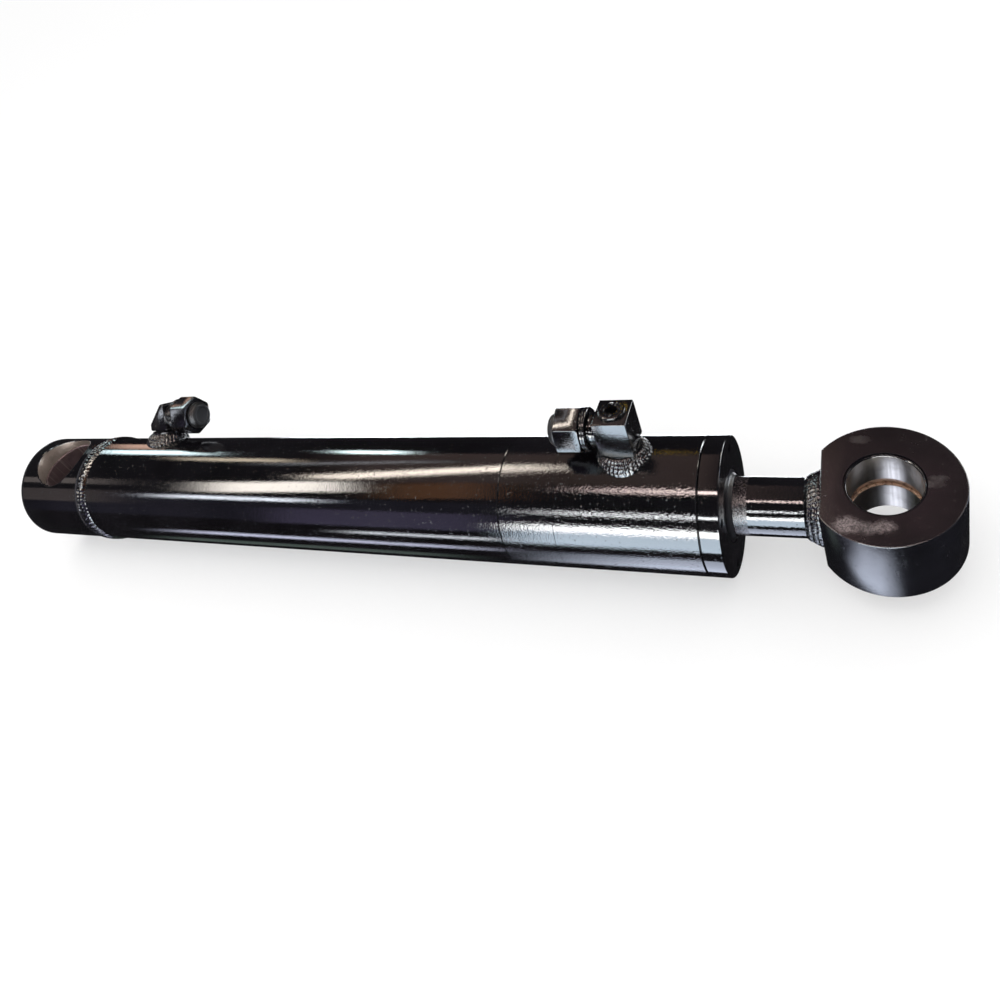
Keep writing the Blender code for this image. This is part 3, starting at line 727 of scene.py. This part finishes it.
def fine_rod_eye_weld():
    end_x = span("rod_eye_weld")[1]
    fillet = ((0.0, 31.0), (2.5, 30.6), (6.0, 28.8), (9.5, 27.4), (13.0, ROD_R + 0.35))
    steps = 18

    def section(a):
        points = [(end_x, ROD_R + GAP)]
        for k in range(steps + 1):
            t = k / steps
            back, r = along(fillet, t)
            relief = bead_height(t, a * ROD_R, 3, 3.1, 21.0)
            points.append((end_x - back, r + 0.9 * relief))
        points.append((end_x - 13.0, ROD_R + 0.3))
        return points

    finish_piece("rod_eye_weld", lathe(None, 360, section), [weld_paint()], sharp=60)


# Ports. Their local frame has Z up out of the barrel and the outlet along -X.


def port_place(side):
    """The local frame of a port: over its boss, leaned to its outlet, turned to face it."""
    low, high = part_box(side + "_port_boss")
    outlet = MOUNT_AT[side + "_port"]
    x = (low.x + high.x) / 2 / MM
    lean = Matrix.Rotation(-math.atan2(outlet.y, outlet.z), 4, "X")
    turn = Matrix.Rotation(math.pi if outlet.x > x else 0.0, 4, "Z")
    return Matrix.Translation((x, 0, 0)) @ lean @ turn


def outlet_z(side):
    outlet = MOUNT_AT[side + "_port"]
    return math.hypot(outlet.y, outlet.z)


def outlet_lathe(side, profile, steps=FITTING):
    """Turns (distance out from the upright axis, radius) points round the outlet's axis."""
    bm = lathe([(-x, r) for x, r in profile], steps)
    bmesh.ops.translate(bm, vec=(0, 0, outlet_z(side)), verts=bm.verts)
    return bm


def outlet_holes(side):
    hole = [(20, 0), (20, 8.3), (4, 8.3), (4, OIL_HOLE_R), (-2, OIL_HOLE_R), (-2, 0)]
    return outlet_lathe(side, hole, PORT_HOLE)


def saddle_z(y):
    """Height of the barrel's surface at the port's local Y."""
    return math.sqrt((BARREL_R + GAP) ** 2 - y**2)


def fine_port_boss(side):
    boss = upright(lathe(tube(50, 71.1, OIL_HOLE_R, 16.0), FITTING))
    barrel = lathe(rod(-60, 60, BARREL_R + GAP), BARREL)
    finish_piece(side + "_port_boss", carved(boss, barrel), [fitting_paint(side)], port_place(side))


def fine_port_weld(side):
    """Weld bead from the boss down to the barrel, which its toe follows."""
    inner, top_r, toe_r, top_z = 16.3, 17.2, 24.2, 69.3
    seed = {"front": 40.0, "rear": 60.0}[side]
    turns, steps = 420, 26
    bm = bmesh.new()
    rings = []
    for i in range(turns):
        a = math.tau * i / turns
        c, s = math.cos(a), math.sin(a)
        ring = []
        for k in range(steps + 1):
            t = k / steps
            relief = bead_height(t, a * 20.0, 4, 3.4, seed)
            out = 0.7 * (0.8 * math.sin(math.pi * t) + 1.15 * relief)
            r = toe_r + (top_r - toe_r) * t + out
            foot = saddle_z(toe_r * s)
            z = foot + (top_z - foot) * t + out
            ring.append(bm.verts.new((r * c, r * s, z)))
        ring.append(bm.verts.new((inner * c, inner * s, top_z)))
        ring.append(bm.verts.new((inner * c, inner * s, saddle_z(inner * s))))
        rings.append(ring)
    join_rings(bm, rings)
    finish_piece(side + "_port_weld", bm, [weld_paint()], port_place(side), sharp=60)


def fine_front_block():
    half_x, half_y, low, high = 15.0, 16.3, 71.4, 107.8
    corners = [(-half_x, -half_y), (half_x, -half_y), (half_x, half_y), (-half_x, half_y)]
    blank = bevel_edges(prism(corners, low, high), 0.9, 3)
    shaft = [(60, 0), (60, OIL_HOLE_R), (92, OIL_HOLE_R), (92, 10.3), (120, 10.3), (120, 0)]
    bm = carved(blank, upright(lathe(shaft, PORT_HOLE)), outlet_holes("front"))
    finish_piece("front_port_block", bm, [fitting_paint("front")], port_place("front"))


def fine_front_plug():
    head_z, head_r, rise = 108.1, 11.9, 2.8
    top = head_z + rise
    profile = [(97.5, 0), (97.5, 9.2), (98.3, 10.0), (head_z, 10.0), (head_z, head_r)]
    profile += arc_points((top - 1.2, head_r), (top - 0.1, head_r), (top, head_r - 1.6), 4)
    profile += [(top, 9.2), (top - 0.9, 8.7), (top - 0.9, 7.9), (top, 7.3)]
    profile += [(top, 6.6), (top - 0.6, 6.2), (top - 0.6, 0)]
    socket_flats, socket_depth = 10.0, 6.5
    socket = prism(hexagon(socket_flats, 30), top - socket_depth, top + 5)
    bm = carved(upright(lathe(profile, FITTING)), socket)
    finish_piece("front_port_plug", bm, [weld_paint()], port_place("front"))


def fine_rear_elbow():
    outline = [(-15.0, 73.0), (11.0, 73.0), (11.0, 81.0), (-7.5, 104.6), (-15.0, 104.6)]
    blank = bevel_edges(prism(outline, -14.5, 14.5, "Y"), 2.2, 4)
    bm = carved(blank, upright(lathe(rod(60, outlet_z("rear"), OIL_HOLE_R), PORT_HOLE)), outlet_holes("rear"))
    finish_piece("rear_port_elbow", bm, [fitting_paint("rear")], port_place("rear"))


def fine_adapter(side):
    """Grooved neck, collar with a groove round its edge, and the cone inside the union nut."""
    neck = [(8, 8), (15.3, 8), (15.3, 14.6), (15.9, 15.2), (16.6, 15.2), (16.9, 14.7), (17.7, 14.7)]
    neck += [(18.0, 15.2), (20.9, 15.2), (21.4, 14.7), (21.4, 12.6), (22.8, 12.6)]
    collar = [(22.8, 18.5), (23.6, 19.4), (24.9, 19.4), (25.2, 19.0), (25.7, 19.0), (26.0, 19.4)]
    collar += [(27.2, 19.4), (28.0, 18.5), (28.0, 11.2)]
    cone = [(36, 11.2), (46, 9.5), (46, 4), (8, 4)]
    outline = neck + collar + cone
    bm = outlet_lathe(side, rounded(outline, 0.2, 2))
    finish_piece(side + "_port_adapter", bm, [fitting_paint(side)], port_place(side))


def fine_union_nut(side):
    start, end, flats, bore_r = 28.3, 51.0, 38.0, 11.8
    lean = {"front": 8.9, "rear": 0.0}[side]
    blank = bevel_edges(prism(hexagon(flats, lean), -end, -start, "X"), 0.5, 2)
    bmesh.ops.translate(blank, vec=(0, 0, outlet_z(side)), verts=blank.verts)
    corner = flats / math.sqrt(3)
    tools = [outlet_lathe(side, rod(start - 5, end + 5, bore_r))]
    for face, outward in ((start, -1), (end, 1)):
        tip, root = face + 3.0 * outward, face - 2.2 * outward
        cone = [(tip, corner - 3.4), (root, corner + 0.4), (root, corner + 9), (tip, corner + 9)]
        tools.append(outlet_lathe(side, cone))
    bm = carved(blank, *tools)
    finish_piece(side + "_port_union_nut", bm, [fitting_paint(side)], port_place(side))


def fine_blanking_plug(side):
    face, rim, shank = 51.3, 15.2, 11.3
    outline = [
        (face - 4.6, 0), (face - 4.6, shank), (face, shank), (face, rim), (face + 3.2, rim),
        (face + 4.4, rim - 1.1), (face + 6.4, 13.3), (face + 7.4, 12.0), (face + 7.4, 9.2),
        (face + 6.8, 8.8), (face + 6.8, 0),
    ]
    bm = outlet_lathe(side, rounded(outline, 0.4))
    plastic = moulded("plug_" + side, (0.005, 0.005, 0.006), 0.46, 500)
    finish_piece(side + "_port_blanking_plug", bm, [plastic], port_place(side))


def coat_inner_nodes():
    """The sealed pieces keep their CAD shape and get a finish of their own."""
    finishes = {
        "machined_steel": turned_steel(),
        "nitrile_rubber": moulded("nitrile", (0.015, 0.015, 0.016), 0.6, 700),
        "polyurethane": moulded("seal_polyurethane", (0.045, 0.070, 0.120), 0.4, 500),
        "filled_ptfe": moulded("bronze_filled_ptfe", (0.160, 0.110, 0.060), 0.45, 1200),
        "phenolic_fabric": woven_phenolic(),
    }
    for node, obj in frame["nodes"].items():
        finish = finishes.get(SLOT_OF[node])
        if finish:
            for slot in obj.material_slots:
                slot.material = finish


# Studio


def add_floor():
    half, clearance = 14.0, 0.0004
    mesh = bpy.data.meshes.new("floor")
    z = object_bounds()[0][2] - clearance
    corners = [(-half, -half, z), (half, -half, z), (half, half, z), (-half, half, z)]
    mesh.from_pydata(corners, [], [(0, 1, 2, 3)])
    floor = bpy.data.objects.new("floor", mesh)
    bpy.context.scene.collection.objects.link(floor)
    s = Shader("pale_floor", (0.55, 0.55, 0.55), 0.9)
    s.out.inputs["Emission Color"].default_value = (1.0, 1.0, 1.0, 1.0)
    s.out.inputs["Emission Strength"].default_value = 0.42
    mesh.materials.append(s.material)
    floor.visible_glossy = False


# Reflector cards round the cylinder's axis. Each runs from (x, angle) to (x, angle), in metres and
# degrees, with a width in degrees, a colour, a strength, and how far its ends fade. Each stands a
# little farther out than the one before it, so the dim walls of the room come last.
CARD_DISTANCE, CARD_SPACING = 1.5, 0.004
CARDS = (
    ("lamp_end", (-1.22, -31), (-0.60, -20), 20, (1.0, 0.93, 0.85), 13.0, 0.09),
    ("lamp", (-0.76, -6), (0.05, 25), 9, (1.0, 0.89, 0.77), 17.0, 0.04),
    ("left_strip", (-1.42, -50), (-0.74, -50), 6, (0.85, 0.90, 1.0), 14.0, 0.05),
    ("right_strip", (-0.05, -56), (1.7, -56), 3.5, (0.95, 0.97, 1.0), 21.0, 0.15),
    ("pink_strip", (0.12, -17), (1.7, -17), 4.5, (1.0, 0.80, 0.76), 18.0, 0.15),
    ("window", (-0.10, -83), (1.5, -83), 11, (0.97, 0.99, 1.0), 19.0, 0.06),
    ("window_low", (-0.10, -102), (1.3, -102), 26, (0.72, 0.86, 1.0), 8.0, 0.06),
    ("low_line", (-0.67, -111), (-0.11, -111), 5, (0.88, 0.92, 1.0), 8.0, 0.05),
    ("low_edge", (-1.5, -136), (-0.05, -136), 8, (0.74, 0.76, 0.98), 5.0, 0.30),
    ("low_floor", (-0.10, -149), (1.12, -149), 32, (0.66, 0.72, 0.88), 4.6, 0.42),
    ("low_green", (-1.6, -168), (-0.15, -168), 14, (0.60, 0.78, 0.70), 0.35, 0.30),
    ("wood", (-0.58, -30), (-0.10, -20), 28, (0.90, 0.42, 0.20), 0.8, 0.12),
    ("violet", (-1.0, -82), (-0.11, -80), 32, (0.34, 0.30, 0.52), 1.1, 0.10),
    ("warm_strip", (-1.42, 33), (-0.87, 31), 8, (1.0, 0.85, 0.65), 5.0, 0.09),
    ("far_lamp", (-1.85, 52), (-1.25, 50), 12, (0.78, 0.96, 1.0), 11.0, 0.09),
    ("mid_lamp", (-0.74, 54), (-0.46, 54), 8, (0.80, 0.98, 1.0), 20.0, 0.05),
    ("peach", (-1.80, 71), (-1.44, 71), 18, (0.90, 0.58, 0.45), 3.0, 0.05),
    ("gold", (0.318, 56), (0.36, 56), 4, (1.0, 0.66, 0.12), 5.0, 0.005),
    ("grey_line", (-1.1, 20), (-0.25, 34), 3, (0.80, 0.82, 0.88), 3.0, 0.20),
    ("cap_band", (-2.35, -23), (-1.72, -23), 12, (0.90, 0.78, 0.74), 0.9, 0.05),
    ("cap_band_low", (-2.35, -56), (-1.72, -56), 28, (0.90, 0.76, 0.74), 0.4, 0.05),
    ("end_lamp", (2.2, 22), (3.6, 22), 26, (1.0, 0.90, 0.86), 2.6, 0.2),
    ("back_strip", (-1.1, 127), (1.0, 127), 5, (0.92, 0.95, 1.0), 12.0, 0.2),
    ("back_window", (-0.8, 141), (0.45, 141), 14, (0.80, 0.88, 1.0), 6.0, 0.2),
    ("right_back_window", (1.35, 92), (3.2, 92), 16, (0.92, 0.96, 1.0), 12.0, 0.3),
    ("right_back_strip", (1.35, 62), (3.2, 62), 5, (1.0, 0.92, 0.82), 12.0, 0.3),
    ("right_back_floor", (2.15, 133), (3.8, 133), 24, (0.72, 0.80, 1.0), 4.5, 0.3),
    ("left_back_window", (-3.8, 100), (-2.35, 100), 16, (0.92, 0.96, 1.0), 1.6, 0.3),
    ("left_back_floor", (-3.8, 138), (-2.35, 138), 20, (0.72, 0.80, 1.0), 1.0, 0.3),
    ("brown_room", (-0.9, 20), (0.75, 20), 62, (0.80, 0.56, 0.50), 0.42, 0.3),
    ("navy_room", (-2.4, -70), (0.0, -70), 50, (0.40, 0.40, 0.62), 0.16, 0.3),
)


def add_card(index, name, start, end, width, colour, strength, fade):
    """A curved strip of soft light, seen only in reflections."""
    rows, columns = 24, max(1, round(width / 3))
    distance = CARD_DISTANCE + index * CARD_SPACING
    points = []
    for k in range(rows + 1):
        t = k / rows
        x = start[0] + (end[0] - start[0]) * t
        first = start[1] + (end[1] - start[1]) * t - width / 2
        for i in range(columns + 1):
            a = math.radians(first + width * i / columns)
            points.append((x, distance * math.sin(a), distance * math.cos(a)))
    faces = []
    for k in range(rows):
        for i in range(columns):
            corner = k * (columns + 1) + i
            faces.append((corner, corner + 1, corner + columns + 2, corner + columns + 1))
    mesh = bpy.data.meshes.new("card_" + name)
    mesh.from_pydata(points, [], faces)
    mesh.materials.append(card_light(name, start[0], end[0], colour, strength, fade))
    card = bpy.data.objects.new("card_" + name, mesh)
    bpy.context.scene.collection.objects.link(card)
    card.visible_camera = card.visible_diffuse = card.visible_shadow = card.visible_transmission = False


def card_light(name, x0, x1, colour, strength, fade):
    """Emission that fades at both ends along X."""
    material = bpy.data.materials.new("card_" + name)
    material.use_nodes = True
    tree = material.node_tree
    tree.nodes.clear()
    place = tree.nodes.new("ShaderNodeSeparateXYZ")
    tree.links.new(tree.nodes.new("ShaderNodeTexCoord").outputs["Object"], place.inputs["Vector"])
    level = tree.nodes.new("ShaderNodeMath")
    level.operation = "MULTIPLY"
    for i, (x, inward, full) in enumerate(((x0, fade, strength), (x1, -fade, 1.0))):
        ramp = tree.nodes.new("ShaderNodeMapRange")
        ramp.inputs["From Min"].default_value, ramp.inputs["From Max"].default_value = x, x + inward
        ramp.inputs["To Max"].default_value = full
        tree.links.new(place.outputs["X"], ramp.inputs["Value"])
        tree.links.new(ramp.outputs["Result"], level.inputs[i])
    emission = tree.nodes.new("ShaderNodeEmission")
    emission.inputs["Color"].default_value = (*colour, 1.0)
    tree.links.new(level.outputs["Value"], emission.inputs["Strength"])
    output = tree.nodes.new("ShaderNodeOutputMaterial")
    tree.links.new(emission.outputs["Emission"], output.inputs["Surface"])
    return material


def add_world():
    """Soft white light on everything. Reflections see a dim room that is lighter past both ends."""
    world = bpy.data.worlds.new("studio")
    bpy.context.scene.world = world
    world.use_nodes = True
    tree = world.node_tree
    tree.nodes.clear()
    direction = tree.nodes.new("ShaderNodeSeparateXYZ")
    tree.links.new(tree.nodes.new("ShaderNodeTexCoord").outputs["Generated"], direction.inputs["Vector"])
    along_x = tree.nodes.new("ShaderNodeMath")
    along_x.operation = "ABSOLUTE"
    tree.links.new(direction.outputs["X"], along_x.inputs[0])
    glow = tree.nodes.new("ShaderNodeMapRange")
    for key, value in (("From Min", 0.80), ("From Max", 1.0), ("To Min", 0.016), ("To Max", 0.30)):
        glow.inputs[key].default_value = value
    tree.links.new(along_x.outputs["Value"], glow.inputs["Value"])
    room = tree.nodes.new("ShaderNodeBackground")
    room.inputs["Color"].default_value = (0.92, 0.90, 1.0, 1.0)
    tree.links.new(glow.outputs["Result"], room.inputs["Strength"])
    soft = tree.nodes.new("ShaderNodeBackground")
    soft.inputs["Color"].default_value = (1.0, 1.0, 1.0, 1.0)
    soft.inputs["Strength"].default_value = 1.05
    path = tree.nodes.new("ShaderNodeLightPath")
    mix = tree.nodes.new("ShaderNodeMixShader")
    output = tree.nodes.new("ShaderNodeOutputWorld")
    tree.links.new(path.outputs["Is Glossy Ray"], mix.inputs["Fac"])
    tree.links.new(soft.outputs["Background"], mix.inputs[1])
    tree.links.new(room.outputs["Background"], mix.inputs[2])
    tree.links.new(mix.outputs["Shader"], output.inputs["Surface"])


def add_key():
    """A large soft lamp above, for the shadow on the floor."""
    light = bpy.data.lights.new("key", "AREA")
    light.shape, light.size, light.size_y, light.energy = "RECTANGLE", 2.4, 1.6, 10.0
    key = bpy.data.objects.new("key", light)
    bpy.context.scene.collection.objects.link(key)
    key.location = (0.2, -0.5, 2.2)
    aim = Vector((0.45, 0.0, 0.0)) - key.location
    key.rotation_euler = aim.to_track_quat("-Z", "Y").to_euler()
    key.visible_glossy = False
    key.visible_camera = False


def add_camera():
    """The photograph's viewing angle: high, from the rod eye's end, with the lens shifted down."""
    position = Vector((0.9466, -0.4298, 0.6184))
    right = Vector((0.8966, 0.2761, -0.3462)).normalized()
    ahead = Vector((-0.4400, 0.6431, -0.6268)).normalized()
    up = right.cross(ahead).normalized()
    right = ahead.cross(up)
    lens = bpy.data.cameras.new("camera")
    lens.sensor_width, lens.lens = 36.0, 30.66
    lens.shift_y = -0.1488
    lens.clip_start = 0.01
    camera = bpy.data.objects.new("camera", lens)
    bpy.context.scene.collection.objects.link(camera)
    turn = Matrix((right, up, -ahead)).transposed().to_4x4()
    camera.matrix_world = Matrix.Translation(position) @ turn
    bpy.context.scene.camera = camera


add_camera()
fine_rear_cap()
fine_bushes()
fine_rear_cap_weld()
fine_tubes()
fine_gland()
fine_wiper()
fine_rod()
fine_rod_eye()
fine_rod_eye_weld()
fine_front_block()
fine_front_plug()
fine_rear_elbow()
for side in ("front", "rear"):
    fine_port_boss(side)
    fine_port_weld(side)
    fine_adapter(side)
    fine_union_nut(side)
    fine_blanking_plug(side)
coat_inner_nodes()
add_floor()
for index, card in enumerate(CARDS):
    add_card(index, *card)
add_world()
add_key()
bpy.context.scene.view_settings.view_transform = "Standard"
